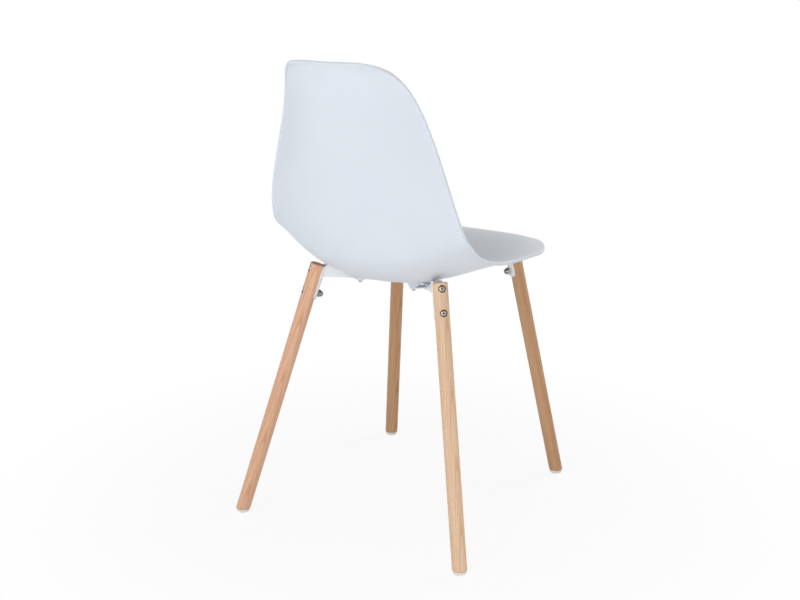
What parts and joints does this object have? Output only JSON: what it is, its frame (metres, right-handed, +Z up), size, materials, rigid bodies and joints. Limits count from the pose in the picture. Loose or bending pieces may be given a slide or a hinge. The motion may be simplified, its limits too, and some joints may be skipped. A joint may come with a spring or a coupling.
{
  "type": "dining chair",
  "caption": "Dining chair: one-piece moulded bucket shell on splayed round wooden legs, bolted through steel saddles to a folded steel cross frame under the seat.",
  "frame": {"origin": "on the floor, under the middle of the chair's overall length and width", "axes": "+Z up; the sitter faces -Y, so the front of the seat is at -Y and the back at +Y; +X is the sitter's left"},
  "size_m": [0.4726, 0.5076, 0.8177],
  "materials": {
    "shell": "satin moulded polypropylene, white with a cool tone, fine spark texture",
    "leg_wood": "turned solid beech under thin clear satin lacquer",
    "frame": "white powder coat on folded sheet steel",
    "bolt": "bright zinc plated, cross recess head",
    "nut": "dark zinc plated domed nut",
    "screw": "bright zinc plated pan head screw",
    "insert": "turned brass threaded insert",
    "glide": "moulded white nylon"
  },
  "bodies": {
    "root": {"seat_shell": "shell", "frame_hub": "frame", "leg_rear_left": "leg_wood", "glide_rear_left": "glide", "saddle_rear_left": "frame", "arm_rear_left": "frame", "tab_rear_left": "frame", "bolts_rear_left": "bolt", "cap_nuts_rear_left": "nut", "shell_screw_rear_left": "screw", "insert_rear_left": "insert", "leg_rear_right": "leg_wood", "glide_rear_right": "glide", "saddle_rear_right": "frame", "arm_rear_right": "frame", "tab_rear_right": "frame", "bolts_rear_right": "bolt", "cap_nuts_rear_right": "nut", "shell_screw_rear_right": "screw", "insert_rear_right": "insert", "leg_front_left": "leg_wood", "glide_front_left": "glide", "saddle_front_left": "frame", "arm_front_left": "frame", "tab_front_left": "frame", "bolts_front_left": "bolt", "cap_nuts_front_left": "nut", "shell_screw_front_left": "screw", "insert_front_left": "insert", "leg_front_right": "leg_wood", "glide_front_right": "glide", "saddle_front_right": "frame", "arm_front_right": "frame", "tab_front_right": "frame", "bolts_front_right": "bolt", "cap_nuts_front_right": "nut", "shell_screw_front_right": "screw", "insert_front_right": "insert"}
  },
  "joints": []
}
